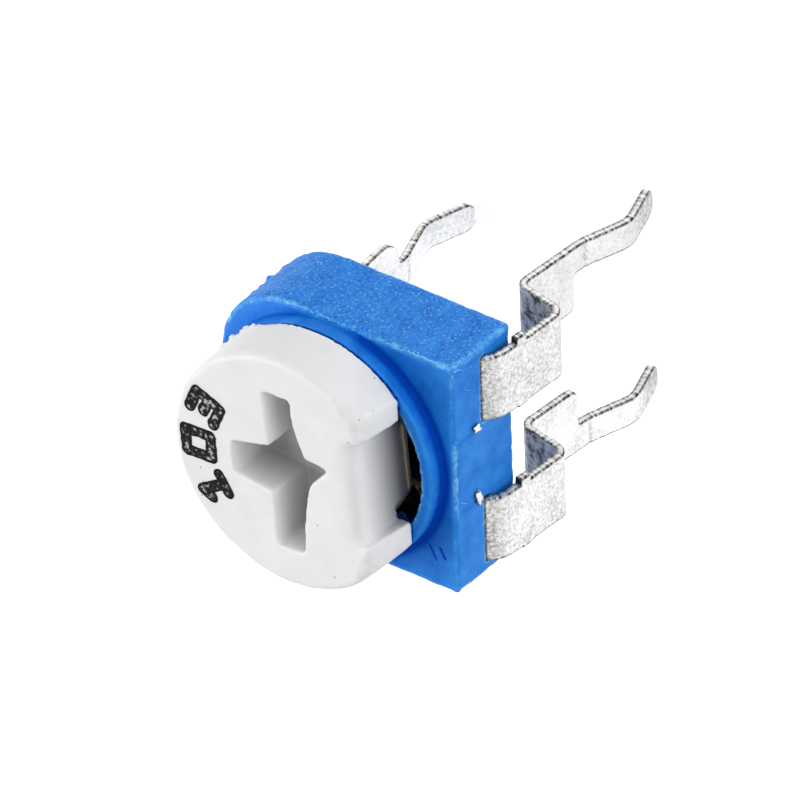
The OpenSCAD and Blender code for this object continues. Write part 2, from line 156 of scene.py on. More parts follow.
def white_pbt():
    """Off-white PBT: satin, with a little light passing into it and a few dark specks from the
    moulding shop. It is painted darker with depth in its recess and pocket and in a line under
    its rim, as painted shade, and its convex edges below the top are painted whiter, a painted highlight."""
    material, tree, mm = start_material("moulded_pbt_white")
    cloud = add(tree, "TexNoise", {"Vector": mm, "Scale": 1.2, "Detail": 4.0})
    colour = add(tree, "ValToRGB", {"Fac": cloud}, [(0.3, "#EAEAEB"), (0.7, "#F1F1F2")])
    speck = add(tree, "TexVoronoi", {"Vector": mm, "Scale": 2.4}, feature="F1")
    dot = add(tree, "ValToRGB", {"Fac": speck}, [(0.035, 1.0), (0.075, 0.0)])
    lot = add(tree, "Math", {0: speck.outputs["Color"], 1: 0.5}, operation="GREATER_THAN")
    some = add(tree, "Math", {0: dot, 1: lot}, operation="MULTIPLY")
    colour = add(tree, "MixRGB", {"Fac": some, 1: colour, 2: linear("#8F8B86")})
    # painted shade: darker with depth in the recess and the pocket, and dark in a line under the rim
    shelter = add(tree, "Attribute", attribute_name="shelter")
    film = add(tree, "ValToRGB", {"Fac": shelter.outputs["Fac"]}, [(0.04, 0.0), (1.0, 0.9)])
    colour = add(tree, "MixRGB", {"Fac": film, 1: colour, 2: linear("#5B595C")})
    wear = add(tree, "Attribute", attribute_name="wear")
    # painted highlight: convex edges below the top and away from the cuts are whiter
    painted_edge_highlight = add(tree, "ValToRGB", {"Fac": wear.outputs["Fac"]}, [(0.62, 0.0), (0.9, 0.8)])
    colour = add(tree, "MixRGB", {"Fac": painted_edge_highlight, 1: colour, 2: linear("#FBFBFB")})
    fine = add(tree, "TexNoise", {"Vector": mm, "Scale": 7.0, "Detail": 4.0})
    rough = add(tree, "ValToRGB", {"Fac": fine}, [(0.3, 0.58), (0.7, 0.45)])
    bump = add(tree, "Bump", {"Height": fine, "Strength": 0.25, "Distance": 0.008 * MM})
    shader = add(tree, "BsdfPrincipled", {"Base Color": colour, "Roughness": rough, "Normal": bump,
        "IOR": 1.48, "Subsurface Weight": 0.2, "Subsurface Radius": (1.0, 0.97, 0.94),
        "Subsurface Scale": 0.2 * MM})
    add(tree, "OutputMaterial", {"Surface": shader})
    return material


def tin_plate():
    """Matte tin plating on steel strip: bright, mottled by its crystals and duller where the press held
    it near the housing; its sheared edges are torn across, between two dark arrises. Its tips are
    painted darker as a painted reflection, its inner face down to the fold is painted as a grey,
    blotched film without metal as a painted reflection, and a dark band where a lead leaves the
    housing is a painted contact shadow."""
    material, tree, mm = start_material("matte_tin_plating")
    grain = add(tree, "TexNoise", {"Vector": mm, "Scale": 12.0, "Detail": 5.0, "Roughness": 0.75})
    cloud = add(tree, "TexNoise", {"Vector": mm, "Scale": 1.4, "Detail": 3.0, "Roughness": 0.6})
    # duller where the press held the strip and at the kink, and painted darker towards the tips as a
    # painted reflection
    worn = add(tree, "Attribute", attribute_name="handled_and_shade")
    tone = add(tree, "MixRGB", {"Fac": 0.35, 1: grain, 2: cloud})
    clean = add(tree, "ValToRGB", {"Fac": tone}, [(0.36, "#C0C0C0"), (0.45, "#DCDCDC"), (0.6, "#EFEFEE")])
    dulled_plate = add(tree, "ValToRGB", {"Fac": grain}, [(0.36, "#4E4C4A"), (0.47, "#A3A2A1"), (0.6, "#E6E6E5")])
    plate = add(tree, "MixRGB", {"Fac": worn.outputs["Fac"], 1: clean, 2: dulled_plate})
    shear = add(tree, "Attribute", attribute_name="shear")
    along = add(tree, "Attribute", attribute_name="along")
    torn = add(tree, "TexNoise", {"W": along.outputs["Fac"], "Scale": 9.0, "Detail": 3.0, "Roughness": 0.7},
        noise_dimensions="1D")
    torn = add(tree, "MixRGB", {"Fac": 0.45, 1: torn, 2: grain})
    edge = add(tree, "ValToRGB", {"Fac": torn}, [(0.36, "#5A5754"), (0.43, "#B5B3AF"), (0.54, "#E4E3E0")])
    colour = add(tree, "MixRGB", {"Fac": shear.outputs["Fac"], 1: plate, 2: edge})
    # dark lines beside the sheared edges and at the stub; a dark band where a lead leaves the housing and
    # round a sliver's back is a painted contact shadow
    arris = add(tree, "Attribute", attribute_name="arris")
    line = add(tree, "ValToRGB", {"Fac": torn}, [(0.44, 1.0), (0.6, 0.45)])
    line = add(tree, "Math", {0: line, 1: arris.outputs["Fac"]}, operation="MULTIPLY")
    colour = add(tree, "MixRGB", {"Fac": line, 1: colour, 2: linear("#2C2A28")})
    rough = add(tree, "ValToRGB", {"Fac": tone}, [(0.4, 0.55), (0.62, 0.34)])
    bump = add(tree, "Bump", {"Height": grain, "Strength": 0.4, "Distance": 0.014 * MM})
    # the inner face down to the fold is painted a grey film with dark blotches and loses its metal, a
    # painted reflection in place of the plating's reflections
    painted_reflection = add(tree, "Attribute", attribute_name="painted_reflection")
    blot = add(tree, "TexNoise", {"Vector": mm, "Scale": 4.0, "Detail": 5.0, "Roughness": 0.7})
    film = add(tree, "ValToRGB", {"Fac": blot}, [(0.4, "#24211F"), (0.48, "#BFB8AB"), (0.6, "#F3ECDF")])
    colour = add(tree, "MixRGB", {"Fac": painted_reflection.outputs["Fac"], 1: colour, 2: film})
    metal = add(tree, "ValToRGB", {"Fac": painted_reflection.outputs["Fac"]}, [(0.0, 1.0), (1.0, 0.0)])
    shader = add(tree, "BsdfPrincipled", {"Base Color": colour, "Roughness": rough, "Normal": bump,
        "Metallic": metal})
    add(tree, "OutputMaterial", {"Surface": shader})
    return material


def spring_bronze():
    """Bare phosphor-bronze spring sheet: pale gold, bright from rolling, with fine lines along it."""
    material, tree, mm = start_material("rolled_spring_bronze")
    stretch = add(tree, "Mapping", {"Vector": mm, "Scale": (1.0, 14.0, 4.0)})
    lines = add(tree, "TexNoise", {"Vector": stretch, "Scale": 1.5, "Detail": 5.0})
    colour = add(tree, "ValToRGB", {"Fac": lines}, [(0.3, "#DCC69A"), (0.7, "#F8EED6")])
    rough = add(tree, "ValToRGB", {"Fac": lines}, [(0.3, 0.6), (0.7, 0.45)])
    shader = add(tree, "BsdfPrincipled", {"Base Color": colour, "Roughness": rough, "Metallic": 1.0})
    add(tree, "OutputMaterial", {"Surface": shader})
    return material


def paper_phenolic():
    """Brown paper laminate bonded with phenolic resin: glossy resin over short paper fibres."""
    material, tree, mm = start_material("paper_phenolic_board")
    stretch = add(tree, "Mapping", {"Vector": mm, "Scale": (1.0, 5.0, 5.0)})
    fibre = add(tree, "TexNoise", {"Vector": stretch, "Scale": 3.0, "Detail": 6.0})
    colour = add(tree, "ValToRGB", {"Fac": fibre}, [(0.3, "#3A2114"), (0.7, "#634023")])
    rough = add(tree, "ValToRGB", {"Fac": fibre}, [(0.3, 0.5), (0.7, 0.35)])
    shader = add(tree, "BsdfPrincipled", {"Base Color": colour, "Roughness": rough})
    add(tree, "OutputMaterial", {"Surface": shader})
    return material


def carbon_film():
    """Screen-printed carbon film: sooty black with the mesh's faint unevenness."""
    material, tree, mm = start_material("printed_carbon_film")
    soot = add(tree, "TexNoise", {"Vector": mm, "Scale": 14.0, "Detail": 4.0})
    colour = add(tree, "ValToRGB", {"Fac": soot}, [(0.3, "#141414"), (0.7, "#262524")])
    rough = add(tree, "ValToRGB", {"Fac": soot}, [(0.3, 0.75), (0.7, 0.5)])
    shader = add(tree, "BsdfPrincipled", {"Base Color": colour, "Roughness": rough})
    add(tree, "OutputMaterial", {"Surface": shader})
    return material


def rolled_brass():
    """Drawn brass tube, rolled over at both ends: yellow metal, dull from tumbling."""
    material, tree, mm = start_material("rolled_brass_tube")
    marks = add(tree, "TexNoise", {"Vector": mm, "Scale": 9.0, "Detail": 5.0})
    colour = add(tree, "ValToRGB", {"Fac": marks}, [(0.3, "#A98545"), (0.7, "#D2B069")])
    rough = add(tree, "ValToRGB", {"Fac": marks}, [(0.3, 0.5), (0.7, 0.3)])
    shader = add(tree, "BsdfPrincipled", {"Base Color": colour, "Roughness": rough, "Metallic": 1.0})
    add(tree, "OutputMaterial", {"Surface": shader})
    return material


def pad_ink():
    """Black pad-printing ink: matt, drawn up dense along its outline and thin inside, where the
    white shows through in specks."""
    material, tree, mm = start_material("pad_printing_ink_black")
    holes = add(tree, "TexNoise", {"Vector": mm, "Scale": 9.0, "Detail": 3.0, "Roughness": 0.6})
    thin = add(tree, "ValToRGB", {"Fac": holes}, [(0.43, "#050505"), (0.55, "#2A2A2A"), (0.65, "#C0C0C0")])
    rim = add(tree, "Attribute", attribute_name="rim")
    dense = add(tree, "ValToRGB", {"Fac": rim.outputs["Fac"]}, [(0.1, 0.0), (0.5, 1.0)])
    colour = add(tree, "MixRGB", {"Fac": dense, 1: thin, 2: linear("#030303")})
    rough = add(tree, "ValToRGB", {"Fac": holes}, [(0.3, 0.7), (0.7, 0.5)])
    shader = add(tree, "BsdfPrincipled", {"Base Color": colour, "Roughness": rough, "IOR": 1.4,
        "Specular IOR Level": 0.15})
    add(tree, "OutputMaterial", {"Surface": shader})
    return material


def seen_by_eye(tree):
    """1 for what the camera sees straight, in a reflection or through something; 0 for light."""
    path = add(tree, "LightPath")
    seen = add(tree, "Math", {0: path.outputs["Is Camera Ray"], 1: path.outputs["Is Glossy Ray"]},
        operation="MAXIMUM")
    return add(tree, "Math", {0: seen, 1: path.outputs["Is Transmission Ray"]}, operation="MAXIMUM")


def paper_sweep():
    """White paper roll that the part stands on: it reads as white to the eye and still takes a shadow."""
    material, tree, mm = start_material("white_paper_sweep")
    fibre = add(tree, "TexNoise", {"Vector": mm, "Scale": 2.0, "Detail": 4.0})
    paper = add(tree, "ValToRGB", {"Fac": fibre}, [(0.3, "#F3F3F3"), (0.7, "#F6F6F6")])
    diffuse = add(tree, "BsdfDiffuse", {"Color": paper})
    glow = add(tree, "Emission", {"Color": linear("#FFFFFF"), "Strength": FLOOR_GLOW})
    lit = add(tree, "AddShader", {0: diffuse, 1: glow})
    mix = add(tree, "MixShader", {0: seen_by_eye(tree), 1: diffuse, 2: lit})
    add(tree, "OutputMaterial", {"Surface": mix})
    return material


# ---------------------------------------------------------------- meshes

def clamp(value):
    return min(1.0, max(0.0, value))


def new_object(name, data):
    """A new object in the scene, for a mesh, a lamp or a camera."""
    made = bpy.data.objects.new(name, data)
    bpy.context.scene.collection.objects.link(made)
    return made


def dress(mesh, material, smooth=True):
    """Gives a mesh its shading and its only material."""
    mesh.polygons.foreach_set("use_smooth", [smooth] * len(mesh.polygons))
    mesh.materials.clear()
    mesh.materials.append(material)


def mark(mesh, **values):
    """Stores a value for each vertex under each name, for the materials to read."""
    for key, value in values.items():
        mesh.attributes.new(key, "FLOAT", "POINT").data.foreach_set("value", value)


def to_object(name, vertices, faces, material, smooth=True):
    """An object from vertices in millimetres and faces, its normals turned outwards."""
    mesh = bpy.data.meshes.new(name)
    mesh.from_pydata([Vector(v) * MM for v in vertices], [], faces)
    work = bmesh.new()
    work.from_mesh(mesh)
    bmesh.ops.recalc_face_normals(work, faces=work.faces)
    work.to_mesh(mesh)
    work.free()
    dress(mesh, material, smooth)
    return new_object(name, mesh)


def skin(a, b, count):
    """Faces between two rings of vertices that start at a and at b."""
    return [(a + k, a + (k + 1) % count, b + (k + 1) % count, b + k) for k in range(count)]


def points_of(mesh):
    """A mesh's vertices, their normals and its edges, as arrays."""
    place, normal = np.empty(len(mesh.vertices) * 3), np.empty(len(mesh.vertices) * 3)
    mesh.vertices.foreach_get("co", place)
    mesh.vertices.foreach_get("normal", normal)
    edges = np.empty(len(mesh.edges) * 2, dtype=int)
    mesh.edges.foreach_get("vertices", edges)
    return place.reshape(-1, 3), normal.reshape(-1, 3), edges.reshape(-1, 2)


def spread(values, edges, rounds):
    """Averages a value over neighbouring vertices, again and again."""
    own_share = 0.4
    count = np.maximum(np.bincount(edges.ravel(), minlength=len(values)), 1)
    for _ in range(rounds):
        total = np.bincount(edges[:, 0], values[edges[:, 1]], len(values))
        total += np.bincount(edges[:, 1], values[edges[:, 0]], len(values))
        values = own_share * values + (1 - own_share) * total / count
    return values


# ---------------------------------------------------------------- mouldings

# Wear of a moulding's vertices, which also carries painted shade and light: FLAT_WEAR on its faces,
# less in corners as painted shade, more on convex edges up to MOST_WEAR, where the rotor's are
# painted whiter as a painted highlight, and FIN_WEAR on the fins of flash. Edges above ROUGH_WEAR
# are bitten unevenly.
FLAT_WEAR, ROUGH_WEAR, MOST_WEAR, FIN_WEAR = 0.5, 0.58, 0.97, 1.0

# Burrs of the mould's parting line on the corner between +X and +Y: height, size, how far out
PARTING_XY, PARTING_OUT = (2.476, 2.713), (0.647, 0.763, 0.0)
BURRS = ((4.45, 0.13, 0.10), (5.1, 0.1, 0.03), (3.9, 0.16, 0.04), (4.8, 0.08, 0.03))

# How far round the collar the rotor's painted shadow reaches on the housing's face
SHADOW_WIDTH = 1.8

# Scratches on the face near the corner between -X and -Y: start in X and Y, and run along X
SCRATCHES = ((-2.42, -2.86, 0.34), (-2.30, -3.12, 0.24))
SCRATCH_R, SCRATCH_DEPTH = 0.035, 0.025

# In the rotor's own axes: its rim covers the collar above COVER_V, the driver recess lies within
# RECESS_R of the axis, and the pocket within POCKET_HALF to each side and below POCKET_V
COVER_V, RECESS_R, POCKET_HALF, POCKET_V = -2.42, 2.16, 1.40, -2.0

# The torn part of the rotor's lower rim, in degrees from +Y towards +X, and how far it reaches out
TORN_FROM, TORN_TO, TORN_FADE, TORN_OUT = 20, 64, 8, 0.085


def edge_wear(place, normal, edges):
    """Wear from how the surface bends at each vertex, and painted shade in corners, which darken over a
    wider band.
    """
    step = place[edges[:, 1]] - place[edges[:, 0]]
    square = (step ** 2).sum(1)
    bend = np.zeros(len(place))
    for end, sign in ((0, -1), (1, 1)):
        np.add.at(bend, edges[:, end], sign * (step * normal[edges[:, end]]).sum(1) / square)
    bend = spread(bend / np.maximum(np.bincount(edges.ravel(), minlength=len(place)), 1), edges, 2)
    wear = np.clip(FLAT_WEAR + bend * 0.16, 0, 1)
    deep = spread(np.minimum(wear - FLAT_WEAR, 0), edges, 8) * 1.6
    return np.clip(np.maximum(wear, FLAT_WEAR) + deep, 0, MOST_WEAR)


def soften(node, name, voxel, rounds, shape, material):
    """A copy of a CAD node with its edges worn to a small radius, as a mould gives them. shape moves
    its vertices further and corrects their wear in place."""
    source = nodes[node].data.copy()
    source.transform(Matrix.Scale(1 / MM, 4))
    work = bmesh.new()
    work.from_mesh(source)
    bmesh.ops.remove_doubles(work, verts=work.verts, dist=0.001)
    work.to_mesh(source)
    work.free()
    made = new_object(name, source)
    cut = made.modifiers.new("voxels", "REMESH")
    cut.mode = "VOXEL"
    cut.voxel_size = voxel
    cut.adaptivity = 0.0
    ease = made.modifiers.new("ease", "SMOOTH")
    ease.factor = 0.5
    ease.iterations = rounds
    shown = made.evaluated_get(bpy.context.evaluated_depsgraph_get())
    mesh = bpy.data.meshes.new_from_object(shown)
    made.modifiers.clear()
    made.data = mesh
    place, normal, edges = points_of(mesh)
    wear = edge_wear(place, normal, edges)
    place = shape(place, normal, wear, edges)
    mesh.vertices.foreach_set("co", (place * MM).ravel())
    mark(mesh, wear=wear)
    dress(mesh, material)
    return made


def rough_edges(place, normal, wear, depth):
    """Wears convex edges unevenly, always inwards."""
    edge = wear > ROUGH_WEAR
    bite = [noise.noise(Vector(p) * 2.3) + 0.5 * noise.noise(Vector(p) * 6.1) for p in place[edge]]
    moved = place.copy()
    moved[edge] -= normal[edge] * np.maximum(0, np.array(bite) + 0.2)[:, None] * depth
    return moved


def rotor_turned(place):
    """Positions in the axes of the rotor as it stands at rest: u along its flat, and v away from the
    flat, so that the flat and the pocket are at negative v."""
    turn = math.radians(REST_TURN)
    u = place[:, 0] * math.cos(turn) + place[:, 1] * math.sin(turn)
    v = place[:, 1] * math.cos(turn) - place[:, 0] * math.sin(turn)
    return u, v


def shape_housing(place, normal, wear, edges):
    """Uneven edges, pads eased into the side, the burrs of the parting line, two scratches, and
    a painted shadow of the rotor: deeper colour on the face and the collar beside it."""
    place = rough_edges(place, normal, wear, 0.03)
    pads = place[:, 1] < -BODY_FRONT - 0.01
    place[:, 1] = np.maximum(place[:, 1], -BODY_FRONT - 0.002)
    wear[pads] = FLAT_WEAR
    for z, size, height in BURRS:
        near = np.clip(1 - np.sqrt(((place - np.array([*PARTING_XY, z])) ** 2).sum(1)) / size, 0, 1)
        place += (near * height)[:, None] * np.array(PARTING_OUT)
    radius = np.hypot(place[:, 0], place[:, 1])

    # painted shadow of the rotor on the face round the collar, deepest towards the end leads, with painted
    # shade in the crease at the collar's foot and a deeper colour on the collar's wall, which is less
    # scuffed
    shade = np.clip(0.5 - place[:, 1] / BODY_FRONT, 0, 1)
    outside = radius > COLLAR_R - 0.2
    face = (normal[:, 2] > 0.7) & (place[:, 2] < FACE_Z + 0.1)
    wear -= np.where(face, 0.16 * shade * np.clip(1 - (radius - COLLAR_R) / SHADOW_WIDTH, 0, 1), 0)
    foot = (place[:, 2] > FACE_Z - 0.1) & outside & (wear < FLAT_WEAR)
    wear[foot] = FLAT_WEAR - (FLAT_WEAR - wear[foot]) * (0.4 + 0.6 * shade[foot])
    collar = (place[:, 2] > FACE_Z + 0.05) & outside
    wear -= np.where(collar, np.maximum(wear - FLAT_WEAR, 0) * 0.6 + 0.11, 0)

    for x, y, run in SCRATCHES:
        k = np.clip((place[:, 0] - x) / run, 0, 1)
        near = np.hypot(place[:, 0] - x - k * run, place[:, 1] - y - k * 0.5 * run) < SCRATCH_R
        scratch = near & (place[:, 2] > FACE_Z - 0.08)
        wear[scratch] = 0.0
        place[scratch] -= normal[scratch] * SCRATCH_DEPTH

    # the collar's top is painted dark under the rotor's rim, a painted shadow line, and the bore's edge is
    # scuffed in the pocket
    covered = rotor_turned(place)[1] > COVER_V
    wear[(place[:, 2] > HEAD_Z - 0.07) & (radius < COLLAR_R - 0.02) & covered] = 0.0
    wear[(place[:, 2] > HEAD_Z - 0.13) & (radius < COLLAR_R - 0.25) & ~covered] = 0.93
    return place


def rotor_shelter(place):
    """Painted shade: 0 on the rotor's open faces, rising with depth in its driver recess and its
    pocket, and 1 under its rim as a painted shadow line."""
    u, v = rotor_turned(place)
    recess = (np.hypot(u, v) < RECESS_R) & (v > POCKET_V)
    pocket = (np.abs(u) < POCKET_HALF) & ~recess & (v < POCKET_V)
    below = TOP_Z - place[:, 2]
    depth = np.where(recess, 0.54 * np.clip(below / 1.25, 0, 1), 0.0)
    depth = np.where(pocket, np.clip((below - 0.3) / 1.4, 0, 1) ** 1.3, depth)
    return np.where((place[:, 2] < HEAD_Z + 0.015) & ~recess & ~pocket, 1.0, depth)


def shape_rotor(place, normal, wear, edges):
    """Rounder edges on the top, the recess, the pocket and the flat's ends, a torn lower rim on one
    side, and a top face that leaves room for the ink film."""
    u, v = rotor_turned(place)
    cut = (np.hypot(u, v) < RECESS_R + 0.19) | ((np.abs(u) < POCKET_HALF + 0.1) & (v < POCKET_V + 0.1))
    rim = (wear > 0.56) & (place[:, 2] > TOP_Z - 0.3)
    pocket = rim & (np.abs(u) < POCKET_HALF - 0.1) & (v < POCKET_V + 0.1) & (v > POCKET_V - 0.3)
    # the flat's ends are eased in their upper part only, so that the lower rim keeps its size
    upper = np.clip((place[:, 2] - HEAD_Z - 0.45) / 0.3, 0, 1)
    flat_end = ((np.hypot(u, v) > 2.98) & (v < -2.1)) * upper
    for where, rounds in ((cut & rim, 5), (rim & ~cut, 12), (pocket, 160), (flat_end, 80)):
        ease = spread(where.astype(float), edges, rounds) * 0.6 * math.sqrt(rounds)
        ease = np.clip(ease, 0, 1)[:, None]
        smooth = np.column_stack([spread(place[:, k], edges, rounds) for k in range(3)])
        place = place * (1 - ease) + smooth * ease
    place = rough_edges(place, normal, wear, 0.02)
    # the cuts and the top keep no painted edge highlight
    inner = cut | (place[:, 2] > TOP_Z - 0.4)
    wear[inner] = np.minimum(wear[inner], FLAT_WEAR)

    radius = np.hypot(place[:, 0], place[:, 1])
    toward = np.degrees(np.arctan2(place[:, 0], place[:, 1]))
    torn = (radius > 3.02) & (place[:, 2] < HEAD_Z + 0.08) & (toward > TORN_FROM) & (toward < TORN_TO)
    for i in np.flatnonzero(torn):
        fade = min(toward[i] - TORN_FROM, TORN_TO - toward[i], TORN_FADE) / TORN_FADE
        tear = noise.noise(Vector((toward[i] * 0.21, 7.0, 4.0)))
        tear += 0.6 * noise.noise(Vector((toward[i] * 0.55, place[i, 2] * 5, 4.0)))
        place[i, :2] *= 1 + fade * clamp(1.8 * tear + 0.4) * TORN_OUT / radius[i]

    top = TOP_Z - 0.012
    place[:, 2] = np.where(place[:, 2] > top - 0.02, np.minimum(place[:, 2], top), place[:, 2])
    return place


def flash(name, path, lean, height, material):
    """A broken fin of moulding flash along a path, leaning outwards: thin plastic that looks pale."""
    spacing, half_t, root = 0.025, 0.024, 0.03
    lean = Vector(lean).normalized()
    spots = []
    for a, b in zip(path, path[1:]):
        count = max(1, round((Vector(b) - Vector(a)).length / spacing))
        spots += [Vector(a).lerp(Vector(b), i / count) for i in range(count)]
    along = (spots[-1] - spots[0]).normalized()
    aside = along.cross(lean).normalized()
    vertices, faces = [], []
    for p in spots:
        fin = 0.45 + 1.0 * noise.noise(p * 3.7) + 1.2 * noise.noise(p * 13.0)
        fin = height * min(1.0, max(-1.0, fin))
        p = p - lean * height + aside * (0.02 * noise.noise(p * 6.0) + 0.02 * noise.noise(p * 17.0))
        ridge = [p + aside * half_t - lean * root, p + lean * fin, p - aside * half_t - lean * root]
        vertices += [(min(q.x, BODY_HALF), q.y, q.z) for q in ridge]
        if len(vertices) > 3:
            faces += skin(len(vertices) - 6, len(vertices) - 3, 3)
    faces += [(0, 1, 2), tuple(range(len(vertices) - 3, len(vertices)))]
    made = to_object(name, vertices, faces, material)
    mark(made.data, wear=[FIN_WEAR] * len(vertices))
    made.data.set_sharp_from_angle(angle=0.5)
    return made


def sliver(name, place, size, material):
    """A crumb of tin that the housing shaved off a lead, caught at the end of its slit."""
    work = bmesh.new()
    bmesh.ops.create_icosphere(work, subdivisions=3, radius=1.0)
    vertices, contact_shadow = [], []
    for v in work.verts:
        # the side towards the housing and round it gets a dark rim, a painted contact shadow
        contact_shadow.append(1.0 if v.co.y > -0.25 else 0.0)
        bulge = 1 + 0.8 * noise.noise(v.co * 1.3 + Vector(place)) + 0.3 * noise.noise(v.co * 3.1)
        vertices.append([place[k] + v.co[k] * size[k] * bulge for k in range(3)])
    faces = [[v.index for v in f.verts] for f in work.faces]
    work.free()
    made = to_object(name, vertices, faces, material)
    mark(made.data, arris=contact_shadow)
    return made


# ---------------------------------------------------------------- leads

# Headings of a lead's straight stretches, in degrees down from straight out: beside the housing,
# under it, the blade, after the kink, and the tip. Then the radii of the bends, in their order.
DROP, UNDER, BLADE, KINK, TIP = 86.5, 168.0, 85.5, 72.0, 108.0
ENTRY_R, FOLD_R, TUCK_R, KINK_R, KNEE_R = 0.70, 0.35, 0.28, 0.40, 0.80
LEAD_OFF = 0.15     # gap between a lead and the housing's side
FOLD_DROP = 1.50    # the housing's underside down to the end of the fold
CREASE = 0.35       # the board down to the kink
KINK_RUN = 1.05     # straight stretch after the kink
FRONT_ROW, REAR_ROW = 2.62, 2.50    # where the tips stand

# A lead's outline, in X: the pin's middle and half its width, the blade's edges, half the wiper
# lead's blade, the corner radii, and an end lead's round tab about its eyelet
PIN_X, PIN_HALF = 2.5, 0.38
BLADE_OUT, BLADE_IN = 2.88, 1.10
WIPER_HALF = 1.20
SHOULDER_R, WIPER_SHOULDER_R, NECK_R, TIP_R = 0.20, 0.65, 0.16, 0.24
EYE_X, EYE_OUT, TAB_R, TAB_FLARE = 1.70, 1.396, 0.53, 0.5
RING_IN, RING_OUT, RING_START = 0.90, 1.40, 1.0    # the collector ring, and the strip's start on it

# Stub of the tie bar: its heights over the board, and how far it stands out at +X and at -X
TIE_TOP, TIE_LOW, TIE_HIGH, TIE_SMALL = 3.72, 3.42, 0.15, 0.04

# The press rolls the outer face's edges over and leaves a small burr on the inner face, with a
# narrow outline along each face
TURN_R, BURR_R, OUTLINE, BACK_OUTLINE = 0.05, 0.025, 0.02, 0.025
SHEAR_LEAST, SHEAR_MORE = 0.004, 0.022    # how far inside its outline a sheared edge stays
STATION, COLUMNS = 0.035, 16              # spacing of the cross sections, and points across a face
SHARP = math.radians(42)                  # faces that meet at more than this look creased


def bend_move(r, h, turn):
    """What a bend adds, as (outwards, downwards)."""
    a, b = math.radians(h), math.radians(h + turn)
    s = 1 if turn > 0 else -1
    return np.array([math.sin(b) - math.sin(a), math.cos(a) - math.cos(b)]) * r * s


def heading(h):
    """One millimetre along a heading, as (outwards, downwards)."""
    return np.array([math.cos(math.radians(h)), math.sin(math.radians(h))])


def lead_steps(reach, row, start_z):
    """Where the strip starts to bend, and its steps [straight length, bend radius, turn], found as
    in the CAD part: the shoulder comes to the board, and the tip to its row."""
    out = reach + LEAD_OFF + LEAD_T / 2
    entry = bend_move(ENTRY_R, 0, DROP)
    fold = bend_move(FOLD_R, DROP, UNDER - DROP)
    tuck = bend_move(TUCK_R, UNDER, BLADE - UNDER)
    kink = bend_move(KINK_R, BLADE, KINK - BLADE)
    knee = bend_move(KNEE_R, KINK, TIP - KINK)
    drop_len = (start_z - entry[1] - STANDOFF + FOLD_DROP - fold[1]) / math.sin(math.radians(DROP))
    tip_len = (PIN_REACH - CREASE - kink[1] - KINK_RUN * heading(KINK)[1] - knee[1]) / heading(TIP)[1]
    below = kink + KINK_RUN * heading(KINK) + knee + tip_len * heading(TIP)
    fold_end = np.array([out, 0]) + drop_len * heading(DROP) + fold
    blade_fall = STANDOFF - FOLD_DROP - tuck[1] + CREASE
    need = row - below[0] - fold_end[0] - tuck[0]
    lean = 1 / math.tan(math.radians(BLADE))
    run = heading(UNDER)
    run_len = (need - blade_fall * lean) / (run[0] - run[1] * lean)
    blade_len = (blade_fall - run_len * run[1]) / math.sin(math.radians(BLADE))
    return out - entry[0], [
        [0, ENTRY_R, DROP],
        [drop_len, FOLD_R, UNDER - DROP],
        [run_len, TUCK_R, BLADE - UNDER],
        [blade_len, KINK_R, KINK - BLADE],
        [KINK_RUN, KNEE_R, TIP - KINK],
        [tip_len, 0, 0],
    ]


def walk(steps, begin, s):
    """Middle of the strip at a distance along it, as (out, down), with its heading."""
    at, h = np.array([begin, 0.0]), 0.0
    for length, r, turn in steps:
        if s <= length:
            break
        s -= length
        at = at + heading(h) * length
        arc = abs(math.radians(turn)) * r
        if s <= arc:
            return at + bend_move(r, h, turn * s / arc if s > 0 else 1e-6), h + turn * s / arc
        s -= arc
        at, h = at + bend_move(r, h, turn), h + turn
    return at + heading(h) * s, h


def quarter(x, r):
    """How far a round corner of radius r has cut in, at x before its end."""
    return r - math.sqrt(max(0.0, r * r - (r - min(max(x, 0.0), r)) ** 2))


def cross_section(low, high):
    """A lead's outline between its edges in X, from the outer face over +X and the inner face back
    round. Each point is (X, distance off the middle of the sheet, 1 on a sheared edge, darkness of
    the line there)."""
    half = LEAD_T / 2 - 0.001    # a little inside the CAD sheet, so that nothing reaches past it
    turn_r, burr_r = min(TURN_R, (high - low) / 4), min(BURR_R, (high - low) / 4)

    def face(start, end, n):
        return [(start + (end - start) * i / (COLUMNS - 1), n, 0, 0) for i in range(COLUMNS)]

    def arc(x, side, up, r, angles):
        """The round corner at an edge, on the outer face (up 1) or the inner one (up -1)."""
        points = []
        for a in angles:
            sine, cosine = math.sin(math.radians(a)), math.cos(math.radians(a))
            line = 0 if up > 0 and a == 90 else 1
            points.append((x - side * r + side * r * sine, up * half - up * r + up * r * cosine, 1, line))
        return points

    ring = [(low + turn_r, half, 0, 0.9)]
    ring += face(low + turn_r + OUTLINE, high - turn_r - OUTLINE, half)
    ring += [(high - turn_r, half, 0, 0.7)]
    ring += arc(high, 1, 1, turn_r, (30, 60, 90)) + [(high, 0.0, 1, 0)]
    ring += arc(high, 1, -1, burr_r, (90, 60, 30)) + [(high - burr_r, -half, 0, 0.9)]
    ring += reversed(face(low + burr_r + BACK_OUTLINE, high - burr_r - BACK_OUTLINE, -half))
    ring += [(low + burr_r, -half, 0, 0.9)]
    ring += arc(low, -1, -1, burr_r, (30, 60, 90)) + [(low, 0.0, 1, 0)]
    ring += arc(low, -1, 1, turn_r, (90, 60, 30))
    return ring


